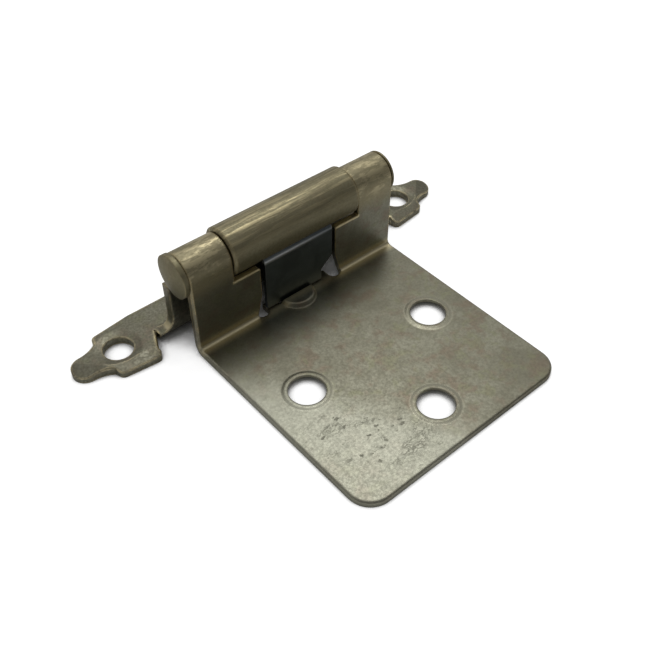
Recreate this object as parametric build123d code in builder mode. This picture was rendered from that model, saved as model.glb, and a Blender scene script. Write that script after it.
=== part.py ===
import os
from math import cos, radians, sin, sqrt, tan

from build123d import *

os.makedirs("parts", exist_ok=True)

# A self-closing, face-mounted cabinet hinge, closed. X runs along the pin, the
# door wing lies on -Y, the frame wing on +Y, and Z rises from the face that
# both wings lie on. The origin is midway between the two frame screws.

# Sheet, pin and the play between them
door_sheet = 1.0
frame_sheet = 1.5
pin_radius = 2.2
pin_play_in_knuckle = 0.02
pin_play_in_barrel = 0.08
pin_height = 13.3
screw_line_to_pin = 4.45
head_overhang = 1.15
head_rim = 0.75
head_dome = 0.5
peen_overhang = 1.02
peen_rim = 0.3
peen_dome = 0.55
head_gap = 0.02

# Door wing
plate_width = 37.4
plate_length = 35.9
plate_corner_radius = 3.6
sheared_edge = 0.25
door_bend_radius = 0.6
knuckle_seam = 60.0
slot_half_width = 7.1
slot_flare = 1.0
slot_flare_height = 5.0
shoulder_gap = 0.2
knuckle_start = 11.67
shoulder_corner_radius = 0.35
relief_width = 2.1
tongue_reach = 0.75
rear_hole_spacing = 23.6
rear_hole_distance = 15.9
front_hole_distance = 29.2
door_hole_radius = 2.7
door_sink_width = 0.63
door_sink_angle = 82.0
door_rim_width = 0.9
door_rim_height = 0.12
door_rim_slope = 75.0

# Half-moon pocket that holds the spring's foot
pocket_offset = -0.7
pocket_radius = 3.1
pocket_rise = 0.75
pocket_setback = 0.15
pocket_wall = 0.65
pocket_roof_play = 0.25
pocket_draft = 25.0
pocket_edge_radius = 0.3
throat_half_width = 3.2

# Frame wing. The finial's sizes are taken from its screw hole.
frame_hole_spacing = 55.0
frame_hole_radius = 2.25
frame_seat_width = 1.25
frame_seat_angle = 160.0
strip_half_width = 5.1
lobe_back = 4.5
lobe_front = 2.0
lobe_taper = 0.7
lobe_corner_radius = 0.9
notch_corner_radius = 0.5
notch_inset = 0.4
notch_depth = 1.4
tip_reach = 7.4
tip_radius = 2.05
neck_slant = 1.5
neck_depth = 1.4
neck_setback = 0.27
finial_edge = 0.3
crease_inner = (-4.5, -3.4)
crease_bend = (2.7, -2.2)
crease_outer = (6.3, 1.4)
facet_slope = 13.0
frame_bend_radius = 0.8
wall_flare = 2.3
wall_step = 0.02
barrel_seam = 60.0
barrel_end_gap = 0.22
barrel_edge = 0.3
cam_lift = 0.25
cam_angle = 56.0

# Closing spring
spring_sheet = 0.6
spring_bend_radius = 0.3
spring_side_play = 0.75
spring_offset = 0.25
spring_tongue_gap = 0.3
spring_corner_height = 4.1
spring_corner_width = 2.2
spring_corner_rise = 1.9
spring_front_gap = 0.05
spring_floor_gap = 0.05
spring_foot_play = 0.15
spring_crest_drop = 3.1
spring_lip_angle = 48.0
spring_seat_gap = 0.03

# Sizes that follow from those above
pin_y = -screw_line_to_pin
knuckle_in = pin_radius + pin_play_in_knuckle
knuckle_out = knuckle_in + door_sheet
knuckle_mid = knuckle_in + door_sheet / 2
barrel_in = pin_radius + pin_play_in_barrel
barrel_out = barrel_in + frame_sheet
barrel_mid = barrel_in + frame_sheet / 2
barrel_half = knuckle_start - barrel_end_gap
ear_front = pin_y - knuckle_out
ear_back = ear_front + door_sheet
ear_shoulder_height = pin_height - sqrt((barrel_out + shoulder_gap) ** 2 - knuckle_in**2)
plate_end = ear_front - plate_length
bend_front = ear_front - door_bend_radius
tongue_half_width = slot_half_width + slot_flare - relief_width
pocket_edge = ear_front + pocket_setback
pocket_inner_radius = pocket_radius - pocket_wall
pocket_depth = spring_floor_gap + spring_sheet + pocket_roof_play
frame_hole_x = frame_hole_spacing / 2
lobe_inner = frame_hole_x - lobe_back
lobe_outer = frame_hole_x + lobe_front
lobe_narrow = strip_half_width - lobe_taper
notch_half_width = lobe_narrow - notch_depth
finial_tip = frame_hole_x + tip_reach
neck_half_length = lobe_inner - neck_slant
neck_start = pin_y + barrel_out + neck_setback
neck_end = neck_depth - strip_half_width
wall_half_width = neck_half_length - wall_flare
wall_height = pin_height - barrel_out - wall_step
spring_half_width = slot_half_width - spring_side_play
spring_foot_radius = pocket_inner_radius - spring_foot_play
spring_left = spring_offset - spring_half_width
spring_right = spring_offset + spring_half_width
spring_base = door_sheet + spring_tongue_gap
spring_corner_top = door_sheet + spring_corner_height
spring_corner_bottom = spring_corner_top - spring_corner_rise
spring_crest_height = pin_height - spring_crest_drop
through = 2 * plate_length
pin_axis = Axis((0, pin_y, pin_height), (1, 0, 0))
pin_plane = Plane((0, pin_y, pin_height), x_dir=(1, 0, 0), z_dir=(0, -1, 0))

with BuildPart() as door_leaf:
    # One folded strip: plate, right-angle bend, ear, and the roll round the pin
    with BuildSketch(Plane.YZ):
        with BuildLine():
            FilletPolyline(
                (plate_end, door_sheet / 2),
                (pin_y - knuckle_mid, door_sheet / 2),
                (pin_y - knuckle_mid, pin_height),
                radius=door_bend_radius + door_sheet / 2,
            )
            CenterArc((pin_y, pin_height), knuckle_mid, 180, knuckle_seam - 360)
        trace(line_width=door_sheet)
    extrude(amount=plate_width / 2, both=True)

    outer_corners = door_leaf.edges().filter_by(Axis.Z).group_by(Axis.Y)[0]
    fillet(outer_corners, plate_corner_radius)
    plate_top = door_leaf.faces().filter_by(Axis.Z).filter_by_position(
        Axis.Z, door_sheet - 0.01, door_sheet + 0.01
    )
    rim = plate_top.edges().filter_by_position(Axis.Y, plate_end - 1, bend_front - 1)
    chamfer(rim, sheared_edge)

    # The window between the ears, wider above the shoulders for the barrel
    with BuildSketch(Plane.XZ.offset(-bend_front)) as window:
        with BuildLine():
            Polyline(
                (0, -door_sheet),
                (slot_half_width + slot_flare, -door_sheet),
                (slot_half_width + slot_flare, door_sheet),
                (slot_half_width, slot_flare_height),
                (slot_half_width, ear_shoulder_height),
                (knuckle_start, ear_shoulder_height),
                (knuckle_start, pin_height + 2 * knuckle_out),
                (0, pin_height + 2 * knuckle_out),
                close=True,
            )
        make_face()
        shoulder_corner = window.vertices().sort_by_distance(
            (slot_half_width, ear_shoulder_height)
        )
        fillet(shoulder_corner[0], shoulder_corner_radius)
        mirror(about=Plane.YZ)
    extrude(amount=-3 * knuckle_out, mode=Mode.SUBTRACT)

    with BuildSketch(Plane.XZ.offset(-ear_back)):
        Rectangle(2 * knuckle_start, 4 * pin_height)
    extrude(amount=-3 * knuckle_out, mode=Mode.SUBTRACT)

    # The flat tongue between the ears, and the round-ended reliefs beside it
    relief_radius = relief_width / 2
    with BuildSketch():
        with Locations((0, bend_front)):
            Rectangle(
                2 * (slot_half_width + slot_flare),
                ear_back + tongue_reach - bend_front,
                align=(Align.CENTER, Align.MIN),
            )
        with Locations(
            (-tongue_half_width - relief_radius, bend_front + relief_radius),
            (tongue_half_width + relief_radius, bend_front + relief_radius),
        ):
            Circle(relief_radius, mode=Mode.SUBTRACT)
            Rectangle(
                2 * relief_radius,
                2 * knuckle_out,
                align=(Align.CENTER, Align.MIN),
                mode=Mode.SUBTRACT,
            )
    extrude(amount=door_sheet)

    # The half-moon, pressed up from the tongue's edge so that it makes a pocket
    with BuildSketch(Plane.XY.offset(door_sheet)):
        with Locations((pocket_offset, pocket_edge)):
            Circle(pocket_radius)
            Rectangle(
                2 * pocket_radius,
                pocket_radius,
                align=(Align.CENTER, Align.MIN),
                mode=Mode.SUBTRACT,
            )
    extrude(amount=pocket_rise, taper=pocket_draft)
    pocket_roof = door_leaf.faces().filter_by_position(
        Axis.Z, door_sheet + pocket_rise - 0.01, door_sheet + pocket_rise + 0.01
    )
    fillet(pocket_roof.edges().filter_by(GeomType.CIRCLE), pocket_edge_radius)
    with BuildSketch():
        with Locations((pocket_offset, pocket_edge)):
            Circle(pocket_inner_radius)
    extrude(amount=pocket_depth, mode=Mode.SUBTRACT)
    with BuildSketch(Plane.XY.offset(-door_sheet)):
        with Locations((pocket_offset, pocket_edge)):
            Rectangle(
                2 * throat_half_width, 2 * knuckle_out, align=(Align.CENTER, Align.MIN)
            )
    extrude(amount=3 * door_sheet, mode=Mode.SUBTRACT)

    # Screw holes, countersunk from the face that meets the cabinet, with the
    # low rim that the punch raises on the other face
    hole_places = [
        (-rear_hole_spacing / 2, ear_front - rear_hole_distance),
        (rear_hole_spacing / 2, ear_front - rear_hole_distance),
        (0, ear_front - front_hole_distance),
    ]
    with BuildSketch(Plane.XY.offset(door_sheet)):
        with Locations(*hole_places):
            Circle(door_hole_radius + door_rim_width)
    extrude(amount=door_rim_height, taper=door_rim_slope)
    with Locations(*[Location((x, y, 0), (180, 0, 0)) for x, y in hole_places]):
        CounterSinkHole(
            door_hole_radius,
            door_hole_radius + door_sink_width,
            counter_sink_angle=door_sink_angle,
        )

with BuildPart() as frame_leaf:
    # The wing and its two finials, with their upper edges eased
    shoulder = (lobe_outer, lobe_narrow)
    notch = (lobe_outer + notch_inset, notch_half_width)
    tip_side = (finial_tip - tip_radius, tip_radius)
    with BuildSketch() as wing:
        with BuildLine():
            Polyline(
                (0, neck_start),
                (neck_half_length, neck_start),
                (lobe_inner, neck_end),
                (lobe_inner, -strip_half_width),
                (shoulder[0], -shoulder[1]),
                (notch[0], -notch[1]),
            )
            TangentArc((tip_side[0], -tip_side[1]), (notch[0], -notch[1]), tangent=(-1, 0))
            ThreePointArc((tip_side[0], -tip_side[1]), (finial_tip, 0), tip_side)
            TangentArc(tip_side, notch, tangent=(-1, 0))
            Polyline(
                notch,
                shoulder,
                (lobe_inner, strip_half_width),
                (0, strip_half_width),
                (0, neck_start),
            )
        make_face()
        near_corners = wing.vertices().group_by(Axis.Y)[0]
        shoulders = [
            wing.vertices().sort_by_distance((shoulder[0], side * shoulder[1]))[0]
            for side in (-1, 1)
        ]
        fillet(near_corners + shoulders, lobe_corner_radius)
        notches = [
            wing.vertices().sort_by_distance((notch[0], side * notch[1]))[0]
            for side in (-1, 1)
        ]
        fillet(notches, notch_corner_radius)
        mirror(about=Plane.YZ)
    extrude(amount=frame_sheet)
    wing_top = frame_leaf.faces().sort_by(Axis.Z)[-1].edges()
    outline = wing_top.filter_by(lambda edge: abs(edge.center().Y - neck_start) > 0.01)
    chamfer(outline, finial_edge)

    # Coined facets on the finials' near side, one each way from the crease's bend
    for side in (1, -1):
        for start, end in ((crease_inner, crease_bend), (crease_bend, crease_outer)):
            along = Vector(side * (end[0] - start[0]), end[1] - start[1], 0)
            outward = along.cross(Vector(0, 0, side))
            across_crease = Plane(
                (side * (frame_hole_x + start[0]), start[1], frame_sheet),
                x_dir=outward,
                z_dir=along * -side,
            )
            with BuildSketch(across_crease):
                with BuildLine():
                    Polyline(
                        (0, 0),
                        (strip_half_width, -strip_half_width * tan(radians(facet_slope))),
                        (strip_half_width, 0),
                        close=True,
                    )
                make_face()
            extrude(amount=2 * strip_half_width, both=True, mode=Mode.SUBTRACT)

    # One folded strip: right-angle bend, wall, and the barrel's roll, with the
    # flat on the roll that the spring snaps on to
    with BuildSketch(Plane.YZ):
        with BuildLine():
            FilletPolyline(
                (strip_half_width - finial_edge, frame_sheet / 2),
                (pin_y + barrel_mid, frame_sheet / 2),
                (pin_y + barrel_mid, pin_height),
                radius=frame_bend_radius + frame_sheet / 2,
            )
            CenterArc((pin_y, pin_height), barrel_mid, 0, 360 - barrel_seam)
        trace(line_width=frame_sheet)
        with Locations((pin_y, pin_height)):
            with PolarLocations(barrel_out - cam_lift, 1, 180 + cam_angle):
                Rectangle(
                    barrel_out,
                    2 * barrel_out,
                    align=(Align.MIN, Align.CENTER),
                    mode=Mode.SUBTRACT,
                )
    extrude(amount=neck_half_length, both=True)

    # Seen from the front: what is cut away beside the barrel and the wall, with
    # the wall's shoulders and its flare to the wing
    with BuildSketch(Plane.XZ.offset(-through)):
        with BuildLine():
            Polyline(
                (neck_half_length, frame_sheet),
                (neck_half_length, pin_height + 2 * barrel_out),
                (barrel_half, pin_height + 2 * barrel_out),
                (barrel_half, wall_height),
                (wall_half_width, wall_height),
                (wall_half_width, frame_sheet + wall_flare),
            )
            RadiusArc(
                (wall_half_width, frame_sheet + wall_flare),
                (neck_half_length, frame_sheet),
                -wall_flare,
            )
        make_face()
        mirror(about=Plane.YZ)
    extrude(amount=2 * through, mode=Mode.SUBTRACT)

    # The barrel's rims, eased where the sheet was sheared
    with BuildSketch(pin_plane):
        with BuildLine():
            Polyline(
                (barrel_half - barrel_edge, barrel_out),
                (barrel_half, barrel_out),
                (barrel_half, barrel_out - barrel_edge),
                close=True,
            )
        make_face()
        mirror(about=Plane.YZ)
    revolve(axis=pin_axis, mode=Mode.SUBTRACT)

    # Screw holes, each with a shallow dish pressed for the screw's head
    with Locations((-frame_hole_x, 0, frame_sheet), (frame_hole_x, 0, frame_sheet)):
        CounterSinkHole(
            frame_hole_radius,
            frame_hole_radius + frame_seat_width,
            counter_sink_angle=frame_seat_angle,
        )

with BuildPart() as hinge_pin:
    # Headed at its left end, peened over the right ear at the other
    head_radius = pin_radius + head_overhang
    peen_radius = pin_radius + peen_overhang
    shank_half = plate_width / 2 + head_gap
    head_start = -shank_half - head_rim
    peen_start = shank_half + peen_rim
    with BuildSketch(pin_plane):
        with BuildLine():
            RadiusArc(
                (head_start - head_dome, 0),
                (head_start, head_radius),
                (head_radius**2 + head_dome**2) / (2 * head_dome),
            )
            Polyline(
                (head_start, head_radius),
                (-shank_half, head_radius),
                (-shank_half, pin_radius),
                (shank_half, pin_radius),
                (shank_half, peen_radius),
                (peen_start, peen_radius),
            )
            RadiusArc(
                (peen_start, peen_radius),
                (peen_start + peen_dome, 0),
                (peen_radius**2 + peen_dome**2) / (2 * peen_dome),
            )
            Line((peen_start + peen_dome, 0), (head_start - head_dome, 0))
        make_face()
    revolve(axis=pin_axis)

with BuildPart() as closing_spring:
    # One strip: foot in the pocket, leg between the ears, lip on the barrel's flat
    leg_front = pocket_edge + spring_front_gap
    leg_middle = leg_front + spring_sheet / 2
    foot_middle = spring_floor_gap + spring_sheet / 2
    lip = radians(spring_lip_angle)
    tilt = radians(cam_angle) - lip
    crest_to_axis = (pin_y - leg_middle) * cos(tilt + lip) + (
        pin_height - spring_crest_height
    ) * sin(tilt + lip)
    seat = barrel_out - cam_lift + spring_seat_gap + spring_sheet / 2 * sin(tilt)
    lip_length = (crest_to_axis - seat) / cos(tilt)
    with BuildSketch(Plane.YZ):
        with BuildLine():
            FilletPolyline(
                (pocket_edge - pocket_inner_radius, foot_middle),
                (leg_middle, foot_middle),
                (leg_middle, spring_crest_height),
                (
                    leg_middle + lip_length * cos(lip),
                    spring_crest_height + lip_length * sin(lip),
                ),
                radius=spring_bend_radius + spring_sheet / 2,
            )
        trace(line_width=spring_sheet)
    extrude(amount=slot_half_width, both=True)
    with BuildSketch(Plane.XZ.offset(-through)):
        with BuildLine():
            Polyline(
                (spring_left, pin_height),
                (spring_right, pin_height),
                (spring_right, spring_corner_top),
                (spring_right - spring_corner_width, spring_corner_bottom),
                (spring_right - spring_corner_width, spring_base),
                (pocket_offset + spring_foot_radius, spring_base),
                (pocket_offset + spring_foot_radius, -door_sheet),
                (pocket_offset - spring_foot_radius, -door_sheet),
                (pocket_offset - spring_foot_radius, spring_base),
                (spring_left, spring_base),
                close=True,
            )
        make_face()
    extrude(amount=2 * through, mode=Mode.INTERSECT)
    with BuildSketch(Plane.XY.offset(-door_sheet)):
        with Locations((pocket_offset, pocket_edge)):
            Circle(spring_foot_radius)
        with Locations((spring_offset, pocket_edge)):
            Rectangle(
                2 * spring_half_width, 2 * knuckle_out, align=(Align.CENTER, Align.MIN)
            )
    extrude(amount=2 * pin_height, mode=Mode.INTERSECT)

for name, piece in (
    ("door_leaf", door_leaf),
    ("frame_leaf", frame_leaf),
    ("hinge_pin", hinge_pin),
    ("closing_spring", closing_spring),
):
    piece.part.label = name
    export_step(piece.part, f"parts/{name}.step")
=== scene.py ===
import bpy
import math
from mathutils import Matrix, Vector

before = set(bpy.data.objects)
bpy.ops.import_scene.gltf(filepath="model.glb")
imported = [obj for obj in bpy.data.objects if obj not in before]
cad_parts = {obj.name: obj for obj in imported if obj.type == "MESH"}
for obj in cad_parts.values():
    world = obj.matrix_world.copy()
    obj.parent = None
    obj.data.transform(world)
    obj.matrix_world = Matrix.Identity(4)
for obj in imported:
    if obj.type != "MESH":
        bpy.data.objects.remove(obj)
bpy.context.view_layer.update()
print("hinge loaded")

# Camera at the photograph's viewing angle, in metres, degrees and pixels
cameraSet = {
    "azimuth": -41.19,
    "elevation": 45.74,
    "distance": 0.1259,
    "roll": 0.416,
    "aim": (-0.00113, -0.01714, -0.0002),
    "focalPixels": 846.8,
    "imagePixels": 670.0,
    "sensor": 36.0,
    "clip": (0.005, 10.0),
}


def makeCamera(s):
    data = bpy.data.cameras.new("photoCamera")
    data.sensor_fit = "HORIZONTAL"
    data.sensor_width = s["sensor"]
    data.lens = s["focalPixels"] / s["imagePixels"] * s["sensor"]
    data.clip_start, data.clip_end = s["clip"]
    camera = bpy.data.objects.new("photoCamera", data)
    bpy.context.scene.collection.objects.link(camera)
    az, el = math.radians(s["azimuth"]), math.radians(s["elevation"])
    back = Vector((math.sin(az) * math.cos(el), -math.cos(az) * math.cos(el), math.sin(el)))
    turn = (-back).to_track_quat("-Z", "Y").to_matrix()
    turn = turn @ Matrix.Rotation(math.radians(s["roll"]), 3, "Z")
    place = Vector(s["aim"]) + back * s["distance"]
    camera.matrix_world = Matrix.Translation(place) @ turn.to_4x4()
    bpy.context.scene.camera = camera


makeCamera(cameraSet)
print("camera placed")


# Small helpers for building node trees: a value is a socket to link, a number or a tuple
def feed(tree, socket, value):
    if isinstance(value, bpy.types.NodeSocket):
        tree.links.new(value, socket)
    elif socket.type == "RGBA":
        socket.default_value = (*value, 1.0)
    else:
        socket.default_value = value


def mathNode(tree, operation, *values):
    node = tree.nodes.new("ShaderNodeMath")
    node.operation = operation
    for socket, value in zip(node.inputs, values):
        feed(tree, socket, value)
    return node.outputs[0]


def multiply(tree, first, *others):
    for value in others:
        first = mathNode(tree, "MULTIPLY", first, value)
    return first


def invert(tree, value):
    return mathNode(tree, "SUBTRACT", 1.0, value)


def vectorNode(tree, operation, *values):
    node = tree.nodes.new("ShaderNodeVectorMath")
    node.operation = operation
    for socket, value in zip(node.inputs, values):
        feed(tree, socket, value)
    return node.outputs["Value" if operation in ("DOT_PRODUCT", "LENGTH") else "Vector"]


def splitNode(tree, vector):
    node = tree.nodes.new("ShaderNodeSeparateXYZ")
    feed(tree, node.inputs["Vector"], vector)
    return node.outputs


# Rises smoothly from 0 to 1 as the source goes from low to high
def rampNode(tree, source, low, high):
    node = tree.nodes.new("ShaderNodeMapRange")
    node.interpolation_type = "SMOOTHSTEP"
    feed(tree, node.inputs["Value"], source)
    feed(tree, node.inputs["From Min"], low)
    feed(tree, node.inputs["From Max"], high)
    return node.outputs["Result"]


# Spreads a source of 0 to 1 evenly over low to high
def spreadNode(tree, source, low, high):
    node = tree.nodes.new("ShaderNodeMapRange")
    feed(tree, node.inputs["Value"], source)
    feed(tree, node.inputs["To Min"], low)
    feed(tree, node.inputs["To Max"], high)
    return node.outputs["Result"]


# 1 while the value is within inner of the target, 0 from outer on
def nearMask(tree, value, target, inner, outer):
    offset = mathNode(tree, "ABSOLUTE", mathNode(tree, "SUBTRACT", value, target))
    return invert(tree, rampNode(tree, offset, inner, outer))


def flatDistance(tree, across, along, centre):
    a = mathNode(tree, "SUBTRACT", across, centre[0])
    b = mathNode(tree, "SUBTRACT", along, centre[1])
    return mathNode(tree, "SQRT", mathNode(tree, "ADD", multiply(tree, a, a), multiply(tree, b, b)))


def mixColour(tree, share, a, b):
    node = tree.nodes.new("ShaderNodeMix")
    node.data_type = "RGBA"
    sockets = {socket.identifier: socket for socket in [*node.inputs, *node.outputs]}
    feed(tree, sockets["Factor_Float"], share)
    feed(tree, sockets["A_Color"], a)
    feed(tree, sockets["B_Color"], b)
    return sockets["Result_Color"]


def noiseNode(tree, vector, scale, detail, rough=0.55, twist=0.0, output="Fac"):
    node = tree.nodes.new("ShaderNodeTexNoise")
    feed(tree, node.inputs["Vector"], vector)
    feed(tree, node.inputs["Scale"], scale)
    feed(tree, node.inputs["Detail"], detail)
    feed(tree, node.inputs["Roughness"], rough)
    feed(tree, node.inputs["Distortion"], twist)
    return node.outputs[output]


def bumpNode(tree, height, normal, strength, distance):
    node = tree.nodes.new("ShaderNodeBump")
    feed(tree, node.inputs["Height"], height)
    feed(tree, node.inputs["Normal"], normal)
    feed(tree, node.inputs["Strength"], strength)
    feed(tree, node.inputs["Distance"], distance)
    return node.outputs["Normal"]


def newGroup(name, inputs, outputs):
    tree = bpy.data.node_groups.new(name, "ShaderNodeTree")
    for label, kind in inputs.items():
        tree.interface.new_socket(label, in_out="INPUT", socket_type=f"NodeSocket{kind}")
    for label, kind in outputs.items():
        tree.interface.new_socket(label, in_out="OUTPUT", socket_type=f"NodeSocket{kind}")
    return tree, tree.nodes.new("NodeGroupInput"), tree.nodes.new("NodeGroupOutput")


def useGroup(tree, group, vector, settings):
    node = tree.nodes.new("ShaderNodeGroup")
    node.node_tree = group
    feed(tree, node.inputs["Vector"], vector)
    for name, value in settings.items():
        feed(tree, node.inputs[name], value)
    return node


# Shared effect: plating rubbed off where the rounded normal turns away from the face's own
edgeWearSet = {
    "samples": 6,
    "turned": (0.004, 0.045),
    "noise": (5.0, 0.65),
    "patches": (0.3, 0.62),
}


def makeEdgeWear(s):
    inputs = {"Vector": "Vector", "Radius": "Float", "Breakup": "Float", "Amount": "Float"}
    tree, inp, out = newGroup("edgeWear", inputs, {"Mask": "Float", "Normal": "Vector"})
    bevel = tree.nodes.new("ShaderNodeBevel")
    bevel.samples = s["samples"]
    feed(tree, bevel.inputs["Radius"], inp.outputs["Radius"])
    faceNormal = tree.nodes.new("ShaderNodeNewGeometry").outputs["True Normal"]
    edge = invert(tree, vectorNode(tree, "DOT_PRODUCT", bevel.outputs["Normal"], faceNormal))
    noise = noiseNode(tree, inp.outputs["Vector"], inp.outputs["Breakup"], *s["noise"])
    patchy = rampNode(tree, noise, *s["patches"])
    mask = multiply(tree, rampNode(tree, edge, *s["turned"]), patchy, inp.outputs["Amount"])
    feed(tree, out.inputs["Mask"], mask)
    feed(tree, out.inputs["Normal"], bevel.outputs["Normal"])
    return tree


# Shared effect: the mottled oxide of aged metal, as broad clouds and a fine grain
patinaSet = {
    "cloud": (6.0, 0.6, 0.6),
    "cloudBand": (0.32, 0.68),
    "grain": (3.0, 0.7),
    "grainBand": (0.3, 0.7),
    "grainHeight": 0.35,
}


def makePatina(s):
    inputs = {"Vector": "Vector", "Cloud Scale": "Float", "Grain Scale": "Float"}
    tree, inp, out = newGroup("patina", inputs, {"Cloud": "Float", "Grain": "Float", "Height": "Float"})
    cloud = noiseNode(tree, inp.outputs["Vector"], inp.outputs["Cloud Scale"], *s["cloud"])
    grain = noiseNode(tree, inp.outputs["Vector"], inp.outputs["Grain Scale"], *s["grain"])
    feed(tree, out.inputs["Cloud"], rampNode(tree, cloud, *s["cloudBand"]))
    feed(tree, out.inputs["Grain"], rampNode(tree, grain, *s["grainBand"]))
    feed(tree, out.inputs["Height"], mathNode(tree, "MULTIPLY_ADD", grain, s["grainHeight"], cloud))
    return tree


# Shared effect: fine lines rubbed along one way, as on a rolled knuckle
rubLinesSet = {
    "noise": (4.0, 0.7),
    "band": (0.46, 0.6),
}


def makeRubLines(s):
    tree, inp, out = newGroup("rubLines", {"Vector": "Vector", "Stretch": "Vector"}, {"Mask": "Float"})
    stretched = vectorNode(tree, "MULTIPLY", inp.outputs["Vector"], inp.outputs["Stretch"])
    lines = noiseNode(tree, stretched, 1.0, *s["noise"])
    feed(tree, out.inputs["Mask"], rampNode(tree, lines, *s["band"]))
    return tree


# Shared effect: corrosion pits drawn out along X, and the fine worm lines between them
pittingSet = {
    "wobbleScale": 1.4,
    "wobbleNoise": (2.0, 0.5),
    "wobble": (0.9, 0.9, 0.9),
    "drawnOut": (0.55, 1.0, 1.0),
    "sizes": (0.1, 0.95),
    "largest": 0.38,
    "rim": 0.16,
    "worm": (0.9, 2.0, 0.5, 1.2),
    "wormHalf": 0.07,
    "patch": (0.45, 2.0),
    "patchBand": (0.46, 0.6),
}


def makePitting(s):
    inputs = {"Vector": "Vector", "Scale": "Float"}
    tree, inp, out = newGroup("pitting", inputs, {"Spots": "Float", "Lines": "Float"})
    wobbleScale = multiply(tree, inp.outputs["Scale"], s["wobbleScale"])
    wobble = noiseNode(tree, inp.outputs["Vector"], wobbleScale, *s["wobbleNoise"], output="Color")
    drawn = vectorNode(tree, "MULTIPLY", inp.outputs["Vector"], s["drawnOut"])
    scaled = vectorNode(tree, "MULTIPLY", drawn, inp.outputs["Scale"])
    moved = vectorNode(tree, "MULTIPLY_ADD", wobble, s["wobble"], scaled)

    cells = tree.nodes.new("ShaderNodeTexVoronoi")
    feed(tree, cells.inputs["Vector"], moved)
    feed(tree, cells.inputs["Scale"], 1.0)
    picked = tree.nodes.new("ShaderNodeSeparateColor")
    feed(tree, picked.inputs["Color"], cells.outputs["Color"])
    size = multiply(tree, rampNode(tree, picked.outputs["Red"], *s["sizes"]), s["largest"])
    inside = mathNode(tree, "SUBTRACT", size, cells.outputs["Distance"])
    feed(tree, out.inputs["Spots"], rampNode(tree, inside, 0.0, s["rim"]))

    line = nearMask(tree, noiseNode(tree, moved, *s["worm"]), 0.5, 0.0, s["wormHalf"])
    patch = rampNode(tree, noiseNode(tree, scaled, *s["patch"]), *s["patchBand"])
    feed(tree, out.inputs["Lines"], multiply(tree, line, patch))
    return tree


edgeWear = makeEdgeWear(edgeWearSet)
patina = makePatina(patinaSet)
rubLines = makeRubLines(rubLinesSet)
pitting = makePitting(pittingSet)
print("shared finishes made")

# The aged bronze plate over both wings and the pin. A height is Z, from low to high, in metres
bronzeSet = {
    "dark": (0.165, 0.156, 0.112),
    "mid": (0.244, 0.235, 0.174),
    "pale": (0.322, 0.315, 0.241),
    "brown": (0.258, 0.213, 0.157),
    "brownNoise": (420.0, 3.0),
    "brownBand": (0.46, 0.68),
    "brownShare": 0.85,
    "olive": (0.27, 0.272, 0.17),
    "oliveNoise": (560.0, 3.0, 0.5, 0.4),
    "oliveBand": (0.52, 0.68),
    "oliveShare": 0.6,
    # Bright brass: the colour of the painted highlights on the door's shoulders and bend foot and on the
    # finials' chamfers
    "brass": (0.66, 0.54, 0.29),
    "wearAndHighlight": (0.92, 0.80, 0.50),
    "raisedHeight": (0.002, 0.006),
    "rolledHeight": (0.0095, 0.0125),
    "rolledShare": 0.7,
    "rough": (0.34, 0.46),
    "rolledRough": 0.1,
    "rubbedSmooth": 0.15,
    "cloudScale": 190.0,
    "grainScale": 2600.0,
    "edgeBreakup": 700.0,
    "bumpDistance": 0.00003,
    "bumpStrength": 0.3,
}

# What is particular to each bronzed piece: its grain, and how its edges and rolls are rubbed
wearSets = {
    "door_leaf": {
        "grainShare": 0.42,
        "edgeRadius": 0.00035,
        "lowEdges": 0.8,
        "highEdges": 0.8,
        "lowColour": (0.55, 0.52, 0.40),
        # The door's rolled and rubbed colours are lifted as a painted highlight on the knuckles, over real
        # rub lines
        "rolled": (0.385, 0.335, 0.2),
        "rubAndHighlight": (0.57, 0.50, 0.31),
        "rubShare": 0.9,
        "rubHeight": (0.0112, 0.0146),
        "rubStretch": (340.0, 1100.0, 1100.0),
    },
    "frame_leaf": {
        "grainShare": 0.9,
        "edgeRadius": 0.0005,
        "lowEdges": 0.9,
        "highEdges": 0.4,
        # Worn finial edges lifted to near-white gold: partly worn brass, partly a painted highlight
        "lowColour": (1.0, 0.87, 0.54),
        "rolled": (0.29, 0.255, 0.15),
        "rubAndHighlight": (0.46, 0.40, 0.24),
        "rubShare": 1.0,
        "rubHeight": (0.0136, 0.0168),
        "rubStretch": (90.0, 1500.0, 1500.0),
    },
    "hinge_pin": {
        "grainShare": 0.42,
        "edgeRadius": 0.0003,
        "lowEdges": 0.3,
        "highEdges": 0.3,
        "lowColour": (0.55, 0.52, 0.40),
        "rolled": (0.29, 0.255, 0.15),
        "rubAndHighlight": (0.5, 0.43, 0.25),
        "rubShare": 0.2,
        "rubHeight": (0.0125, 0.0165),
        "rubStretch": (500.0, 500.0, 500.0),
    },
}

# Marks on the door wing: painted highlights on the ear shoulders beside the barrel (partly worn
# brass), along the foot of the bend and in rings round the holes, and a dull rim on the half-moon pocket
doorSet = {
    "shoulderHeight": (0.00955, 0.0099, 0.01012, 0.0103),
    "shoulderEnd": (0.01175, 0.01205),
    "foot": (-0.0082, 0.0013),
    "footReach": 0.0015,
    "footShare": 0.65,
    "holes": ((-0.0118, -0.0236), (0.0118, -0.0236), (0.0, -0.0369)),
    "ring": 0.0034,
    "ringHalf": 0.0005,
    "ringShare": 0.55,
    "ringHighlightColour": (0.58, 0.56, 0.43),
    "pocket": (0.0, -0.0105, 0.0015),
    "pocketReach": (0.0048, 0.0038, 0.004),
    "pocketEdge": (0.85, 1.1),
    "pocketDull": 0.85,
}
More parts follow.
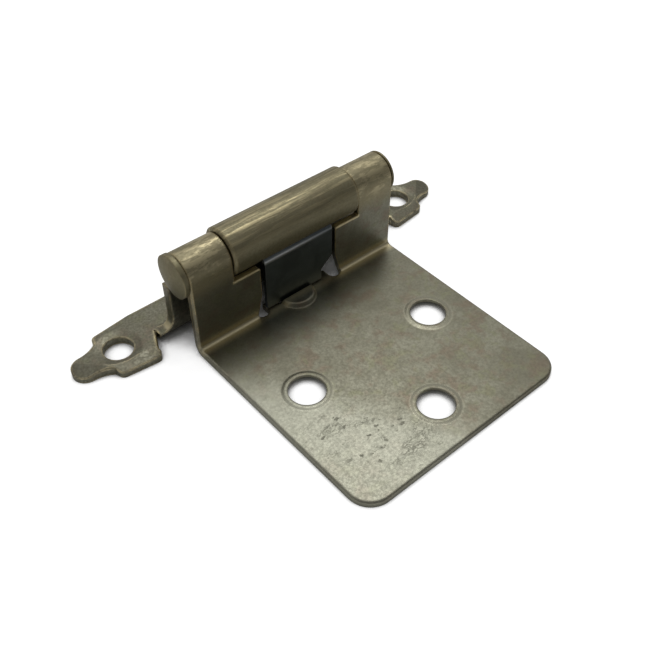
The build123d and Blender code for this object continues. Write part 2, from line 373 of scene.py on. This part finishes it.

# The pitted corner of the door wing, paler with a painted sheen
pitSet = {
    "centre": (-0.0102, -0.0352, 0.001),
    "turn": 45.0,
    "reach": (0.0105, 0.006, 0.0008),
    "edge": (0.55, 1.15),
    "scale": 1150.0,
    "colour": (0.085, 0.082, 0.062),
    "spotShare": 0.75,
    "lineShare": 0.6,
    "sheenColour": (0.44, 0.44, 0.355),
    "greyAim": (-0.83, -0.55, 0.0),
    "greyRise": (0.0204, 0.0268),
    "greyFall": (0.0295, 0.037),
    "greyNoise": (330.0, 4.0, 0.65),
    "greyWander": 0.006,
    "greyShare": 0.8,
    "cornerShare": 0.5,
}

# On the finials: painted shade on the coined facets, and painted highlights on the chamfers over worn brass,
# each told by how its face tilts
finialSet = {
    "facetTilt": (0.9744, 0.004, 0.014),
    "facetShare": 0.35,
    "facetShadeColour": (0.125, 0.115, 0.084),
    "chamferTilt": (0.7, 0.08, 0.26),
    "chamferShare": 0.7,
    "chamferNoise": (260.0, 3.0),
    "chamferBand": (0.36, 0.54),
}


# 1 inside an ellipsoid and 0 outside, fading over edge, in shares of its reach
def ellipsoidMask(tree, vector, centre, turn, reach, edge):
    rotate = tree.nodes.new("ShaderNodeVectorRotate")
    rotate.rotation_type = "Z_AXIS"
    feed(tree, rotate.inputs["Vector"], vector)
    feed(tree, rotate.inputs["Center"], centre)
    feed(tree, rotate.inputs["Angle"], math.radians(turn))
    mapping = tree.nodes.new("ShaderNodeMapping")
    feed(tree, mapping.inputs["Vector"], rotate.outputs["Vector"])
    feed(tree, mapping.inputs["Location"], tuple(-c / r for c, r in zip(centre, reach)))
    feed(tree, mapping.inputs["Scale"], tuple(1 / r for r in reach))
    inner, outer = edge
    return rampNode(tree, vectorNode(tree, "LENGTH", mapping.outputs["Vector"]), outer, inner)


# Painted sheen on the paler corner, with a wandering border, thinned towards the very corner
def cornerSheen(tree, place, s):
    wander = mathNode(tree, "SUBTRACT", noiseNode(tree, place, *s["greyNoise"]), 0.5)
    along = vectorNode(tree, "DOT_PRODUCT", place, s["greyAim"])
    along = mathNode(tree, "ADD", along, multiply(tree, wander, s["greyWander"]))
    rise = rampNode(tree, along, *s["greyRise"])
    fall = multiply(tree, rampNode(tree, along, *s["greyFall"]), s["greyShare"] - s["cornerShare"])
    return multiply(tree, rise, mathNode(tree, "SUBTRACT", s["greyShare"], fall))


# Painted highlight: pale rings round the holes, lightening the shaded outer slope of their rims
def ringHighlight(tree, parts, s):
    rings = 0.0
    for hole in s["holes"]:
        away = flatDistance(tree, parts["X"], parts["Y"], hole)
        rings = mathNode(tree, "MAXIMUM", rings, nearMask(tree, away, s["ring"], 0.0, s["ringHalf"]))
    return multiply(tree, rings, s["ringShare"])


# Painted highlight: a pale line along the foot of the bend between the plate and the ears
def footHighlight(tree, parts, s):
    away = flatDistance(tree, parts["Y"], parts["Z"], s["foot"])
    return multiply(tree, nearMask(tree, away, 0.0, 0.0, s["footReach"]), s["footShare"])


# Painted highlight on the ear shoulders' top faces, partly worn brass, lifting them out of the barrel's shade
def shoulderHighlight(tree, parts, s):
    low, lowEnd, highStart, high = s["shoulderHeight"]
    rise = rampNode(tree, parts["Z"], low, lowEnd)
    fall = rampNode(tree, parts["Z"], highStart, high)
    beyond = rampNode(tree, mathNode(tree, "ABSOLUTE", parts["X"]), *s["shoulderEnd"])
    return multiply(tree, rise, invert(tree, fall), invert(tree, beyond))


def pocketMask(tree, place, s):
    inside = ellipsoidMask(tree, place, s["pocket"], 0.0, s["pocketReach"], s["pocketEdge"])
    return multiply(tree, inside, s["pocketDull"])


def pitMask(tree, place, s):
    zone = ellipsoidMask(tree, place, s["centre"], s["turn"], s["reach"], s["edge"])
    pits = useGroup(tree, pitting, place, {"Scale": s["scale"]})
    spots = multiply(tree, pits.outputs["Spots"], s["spotShare"])
    lines = multiply(tree, pits.outputs["Lines"], s["lineShare"])
    return multiply(tree, mathNode(tree, "MAXIMUM", lines, spots), zone)


def chamferGlintMask(tree, place, tilt, s):
    patchy = rampNode(tree, noiseNode(tree, place, *s["chamferNoise"]), *s["chamferBand"])
    return multiply(tree, nearMask(tree, tilt, *s["chamferTilt"]), patchy, s["chamferShare"])


def newMetal(name):
    material = bpy.data.materials.new(name)
    material.use_nodes = True
    tree = material.node_tree
    shader = tree.nodes["Principled BSDF"]
    shader.inputs["Metallic"].default_value = 1.0
    return material, tree, shader, tree.nodes.new("ShaderNodeTexCoord")


def bronzeMaterial(node, s, wear):
    material, tree, shader, coords = newMetal(f"agedBronze.{node}")
    place = coords.outputs["Object"]
    parts = splitNode(tree, place)
    raised = rampNode(tree, parts["Z"], *s["raisedHeight"])
    rolled = rampNode(tree, parts["Z"], *s["rolledHeight"])

    scales = {"Cloud Scale": s["cloudScale"], "Grain Scale": s["grainScale"]}
    mottle = useGroup(tree, patina, place, scales)
    amount = multiply(tree, raised, wear["highEdges"] - wear["lowEdges"])
    amount = mathNode(tree, "ADD", amount, wear["lowEdges"])
    rounding = {"Radius": wear["edgeRadius"], "Breakup": s["edgeBreakup"], "Amount": amount}
    edges = useGroup(tree, edgeWear, place, rounding)
    lines = useGroup(tree, rubLines, place, {"Stretch": wear["rubStretch"]})

    # The plate itself: clouds, brown and olive blotches, dark grain
    colour = mixColour(tree, mottle.outputs["Cloud"], s["mid"], s["pale"])
    brown = rampNode(tree, noiseNode(tree, place, *s["brownNoise"]), *s["brownBand"])
    colour = mixColour(tree, multiply(tree, brown, s["brownShare"]), colour, s["brown"])
    olive = rampNode(tree, noiseNode(tree, place, *s["oliveNoise"]), *s["oliveBand"])
    colour = mixColour(tree, multiply(tree, olive, s["oliveShare"]), colour, s["olive"])
    speck = multiply(tree, mottle.outputs["Grain"], wear["grainShare"])
    colour = mixColour(tree, speck, colour, s["dark"])

    # Warmer and rubbed on the rolls, the rubbed band on their tops also lightened as a painted highlight
    colour = mixColour(tree, multiply(tree, rolled, s["rolledShare"]), colour, wear["rolled"])
    onRoll = rampNode(tree, parts["Z"], *wear["rubHeight"])
    rubAndHighlight = multiply(tree, onRoll, lines.outputs["Mask"], wear["rubShare"])
    colour = mixColour(tree, rubAndHighlight, colour, wear["rubAndHighlight"])
    height = mottle.outputs["Height"]
    wearAndHighlight = edges.outputs["Mask"]

    if node == "door_leaf":
        colour = mixColour(tree, ringHighlight(tree, parts, doorSet), colour, doorSet["ringHighlightColour"])
        colour = mixColour(tree, footHighlight(tree, parts, doorSet), colour, s["wearAndHighlight"])
        colour = mixColour(tree, shoulderHighlight(tree, parts, doorSet), colour, s["wearAndHighlight"])
        # Painted sheen: the near corner paler in colour
        colour = mixColour(tree, cornerSheen(tree, place, pitSet), colour, pitSet["sheenColour"])
        marks = pitMask(tree, place, pitSet)
        colour = mixColour(tree, marks, colour, pitSet["colour"])
        height = mathNode(tree, "SUBTRACT", height, marks)
        wearAndHighlight = multiply(tree, wearAndHighlight, invert(tree, pocketMask(tree, place, doorSet)))

    edgeColour = mixColour(tree, raised, wear["lowColour"], s["brass"])
    if node == "frame_leaf":
        tilt = splitNode(tree, coords.outputs["Normal"])["Z"]
        # Painted shade: the coined facets darkened in colour
        flat = invert(tree, raised)
        facetShade = multiply(tree, nearMask(tree, tilt, *finialSet["facetTilt"]), flat, finialSet["facetShare"])
        colour = mixColour(tree, facetShade, colour, finialSet["facetShadeColour"])
        colour = mixColour(tree, wearAndHighlight, colour, edgeColour)
        # Painted highlight on the chamfers, over worn brass
        chamferGlint = multiply(tree, chamferGlintMask(tree, place, tilt, finialSet), flat)
        colour = mixColour(tree, chamferGlint, colour, s["wearAndHighlight"])
    else:
        colour = mixColour(tree, wearAndHighlight, colour, edgeColour)
    feed(tree, shader.inputs["Base Color"], colour)

    rough = spreadNode(tree, mottle.outputs["Grain"], *s["rough"])
    rough = mathNode(tree, "ADD", rough, multiply(tree, rolled, s["rolledRough"]))
    rough = mathNode(tree, "SUBTRACT", rough, multiply(tree, rubAndHighlight, s["rubbedSmooth"]))
    feed(tree, shader.inputs["Roughness"], rough)

    height = mathNode(tree, "ADD", height, rubAndHighlight)
    normal = bumpNode(tree, height, edges.outputs["Normal"], s["bumpStrength"], s["bumpDistance"])
    feed(tree, shader.inputs["Normal"], normal)
    return material


# The blued spring clip, with a painted highlight along the crest of its bend, fading towards +X
springSet = {
    "dark": (0.10, 0.117, 0.122),
    "blue": (0.14, 0.163, 0.172),
    "wearAndHighlight": (0.32, 0.33, 0.33),
    "crestHighlight": (0.55, 0.56, 0.56),
    "crest": 0.01015,
    "crestHalf": 0.0005,
    "crestFade": (-0.004, 0.009),
    "rough": (0.28, 0.42),
    "scales": {"Cloud Scale": 260.0, "Grain Scale": 3200.0},
    "edges": {"Radius": 0.00016, "Breakup": 500.0, "Amount": 0.8},
    "bumpDistance": 0.00002,
    "bumpStrength": 0.25,
}


def springMaterial(s):
    material, tree, shader, coords = newMetal("bluedSpring")
    place = coords.outputs["Object"]
    parts = splitNode(tree, place)
    mottle = useGroup(tree, patina, place, s["scales"])
    edges = useGroup(tree, edgeWear, place, s["edges"])
    colour = mixColour(tree, mottle.outputs["Cloud"], s["dark"], s["blue"])
    colour = mixColour(tree, edges.outputs["Mask"], colour, s["wearAndHighlight"])
    # Painted highlight: a pale band of colour along the crest of the bend, dimmer towards +X
    crest = nearMask(tree, parts["Z"], s["crest"], 0.0, s["crestHalf"])
    crest = multiply(tree, crest, invert(tree, rampNode(tree, parts["X"], *s["crestFade"])))
    colour = mixColour(tree, crest, colour, s["crestHighlight"])
    feed(tree, shader.inputs["Base Color"], colour)
    feed(tree, shader.inputs["Roughness"], spreadNode(tree, mottle.outputs["Grain"], *s["rough"]))
    height, normal = mottle.outputs["Height"], edges.outputs["Normal"]
    normal = bumpNode(tree, height, normal, s["bumpStrength"], s["bumpDistance"])
    feed(tree, shader.inputs["Normal"], normal)
    return material


def dress(node, material):
    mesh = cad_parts[node].data
    mesh.materials.clear()
    mesh.materials.append(material)


for node, wear in wearSets.items():
    dress(node, bronzeMaterial(node, bronzeSet, wear))
dress("closing_spring", springMaterial(springSet))
print("finishes on the four pieces")

# The studio: white floor, a soft box overhead to the right, and a room that darkens to the front
studioSet = {
    "floorHalf": 1.2,
    "floorDrop": 0.00002,
    "floorColour": (0.88, 0.88, 0.88),
    "floorRough": 0.9,
    "floorGlow": 0.75,
    "contactSamples": 8,
    "contactReach": 0.011,
    "openSky": (0.4, 0.68),
    "roomAim": (0.2, 0.55, 0.81),
    "roomFade": (-0.15, 1.0),
    "roomDark": 0.11,
    "roomPale": 0.5,
    "wallTop": (0.02, 0.2),
    "mirrorShare": 0.12,
    "white": (1.0, 1.0, 1.0),
}

softBoxSet = {
    "place": (0.155, 0.14, 0.43),
    "aim": (0.0, -0.015, 0.0),
    "size": 0.2,
    "power": 0.28,
}


# 1 for the camera and through glass, and only a share of it in mirror reflections
def seenDirectly(tree, rays, mirrorShare):
    mirrored = multiply(tree, rays.outputs["Is Glossy Ray"], mirrorShare)
    either = mathNode(tree, "MAXIMUM", rays.outputs["Is Camera Ray"], mirrored)
    return mathNode(tree, "MAXIMUM", either, rays.outputs["Is Transmission Ray"])


# The floor glows white to the camera, less where the hinge closes off the sky above it
def floorMaterial(s):
    material = bpy.data.materials.new("paleFloor")
    material.use_nodes = True
    tree = material.node_tree
    shader = tree.nodes["Principled BSDF"]
    feed(tree, shader.inputs["Base Color"], s["floorColour"])
    feed(tree, shader.inputs["Roughness"], s["floorRough"])
    feed(tree, shader.inputs["Specular IOR Level"], 0.0)
    feed(tree, shader.inputs["Emission Color"], s["white"])
    openness = tree.nodes.new("ShaderNodeAmbientOcclusion")
    openness.samples = s["contactSamples"]
    feed(tree, openness.inputs["Distance"], s["contactReach"])
    openSky = rampNode(tree, openness.outputs["AO"], *s["openSky"])
    seen = seenDirectly(tree, tree.nodes.new("ShaderNodeLightPath"), s["mirrorShare"])
    feed(tree, shader.inputs["Emission Strength"], multiply(tree, seen, s["floorGlow"], openSky))
    return material


def makeFloor(s):
    half, level = s["floorHalf"], -s["floorDrop"]
    corners = [(-half, -half, level), (half, -half, level), (half, half, level), (-half, half, level)]
    mesh = bpy.data.meshes.new("floor")
    mesh.from_pydata(corners, [], [(0, 1, 2, 3)])
    mesh.materials.append(floorMaterial(s))
    floor = bpy.data.objects.new("floor", mesh)
    bpy.context.scene.collection.objects.link(floor)


def makeSoftBox(s):
    data = bpy.data.lights.new("softBox", "AREA")
    data.shape = "DISK"
    data.size = s["size"]
    data.energy = s["power"]
    lamp = bpy.data.objects.new("softBox", data)
    bpy.context.scene.collection.objects.link(lamp)
    lamp.location = s["place"]
    lamp.rotation_euler = (Vector(s["aim"]) - Vector(s["place"])).to_track_quat("-Z", "Y").to_euler()


# Pale towards roomAim and darker away from it, with a white wall round the floor's far edge
def makeWorld(s):
    world = bpy.data.worlds.new("studio")
    bpy.context.scene.world = world
    world.use_nodes = True
    tree = world.node_tree
    background = tree.nodes["Background"]
    feed(tree, background.inputs["Color"], s["white"])
    way = tree.nodes.new("ShaderNodeTexCoord").outputs["Generated"]
    room = rampNode(tree, vectorNode(tree, "DOT_PRODUCT", way, s["roomAim"]), *s["roomFade"])
    room = multiply(tree, room, s["roomPale"] - s["roomDark"])
    room = mathNode(tree, "ADD", room, s["roomDark"])
    wall = invert(tree, rampNode(tree, splitNode(tree, way)["Z"], *s["wallTop"]))
    rays = tree.nodes.new("ShaderNodeLightPath")
    pale = multiply(tree, wall, seenDirectly(tree, rays, s["mirrorShare"]))
    pale = mathNode(tree, "MAXIMUM", pale, rays.outputs["Is Camera Ray"])
    feed(tree, background.inputs["Strength"], mathNode(tree, "MAXIMUM", room, pale))


makeFloor(studioSet)
makeSoftBox(softBoxSet)
makeWorld(studioSet)
bpy.context.scene.view_settings.view_transform = "Standard"
print("studio made")
